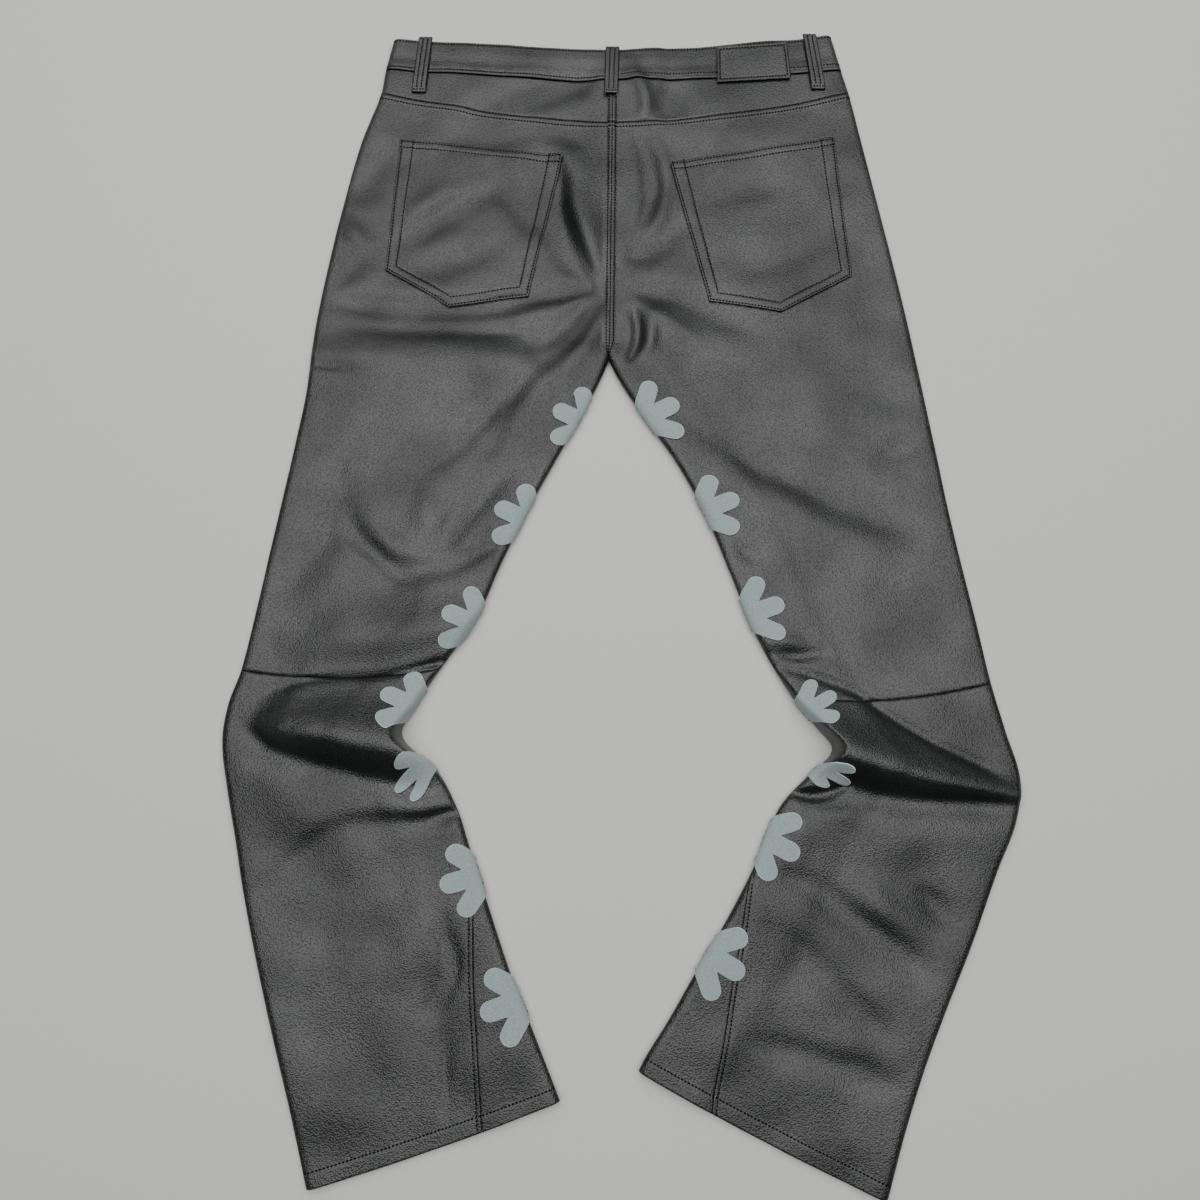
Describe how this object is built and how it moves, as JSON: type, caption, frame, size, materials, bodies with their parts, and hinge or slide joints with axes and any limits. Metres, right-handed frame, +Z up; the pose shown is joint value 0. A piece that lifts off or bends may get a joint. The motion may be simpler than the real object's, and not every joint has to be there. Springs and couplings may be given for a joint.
{
  "type": "leather trousers",
  "caption": "Black leather trousers laid flat, back up, with patch pockets, belt loops, knee seams, flared godets and pale flower patches along the inseams.",
  "frame": {"origin": "on the surface the trousers lie on, under the middle of their bounding box, between the legs at knee height", "axes": "+Y towards the waist, +Z up from the surface, +X towards the right leg as seen from above, which is the wearer's right"},
  "size_m": [0.6682, 1.0499, 0.0296],
  "materials": {
    "leather": "satin",
    "suede": "matte",
    "metal": "satin",
    "tape": "matte"
  },
  "bodies": {
    "root": {"waistband_back": "leather", "waistband_front_left": "leather", "waistband_front_right": "leather", "yoke_left": "leather", "yoke_right": "leather", "back_thigh_left": "leather", "back_thigh_right": "leather", "back_calf_left": "leather", "back_calf_right": "leather", "front_left": "leather", "front_right": "leather", "godet_left": "leather", "godet_right": "leather", "back_pocket_left": "leather", "back_pocket_right": "leather", "petal_patch_left_1": "suede", "petal_patch_left_2": "suede", "petal_patch_left_3": "suede", "petal_patch_left_4": "suede", "petal_patch_left_5": "suede", "petal_patch_left_6": "suede", "petal_patch_left_7": "suede", "petal_patch_right_1": "suede", "petal_patch_right_2": "suede", "petal_patch_right_3": "suede", "petal_patch_right_4": "suede", "petal_patch_right_5": "suede", "petal_patch_right_6": "suede", "petal_patch_right_7": "suede", "belt_loop_back_left": "leather", "belt_loop_back_centre": "leather", "belt_loop_back_right": "leather", "belt_loop_front_left": "leather", "belt_loop_front_right": "leather", "waist_patch": "leather", "waist_button": "metal", "fly_zip": "tape"}
  },
  "joints": []
}
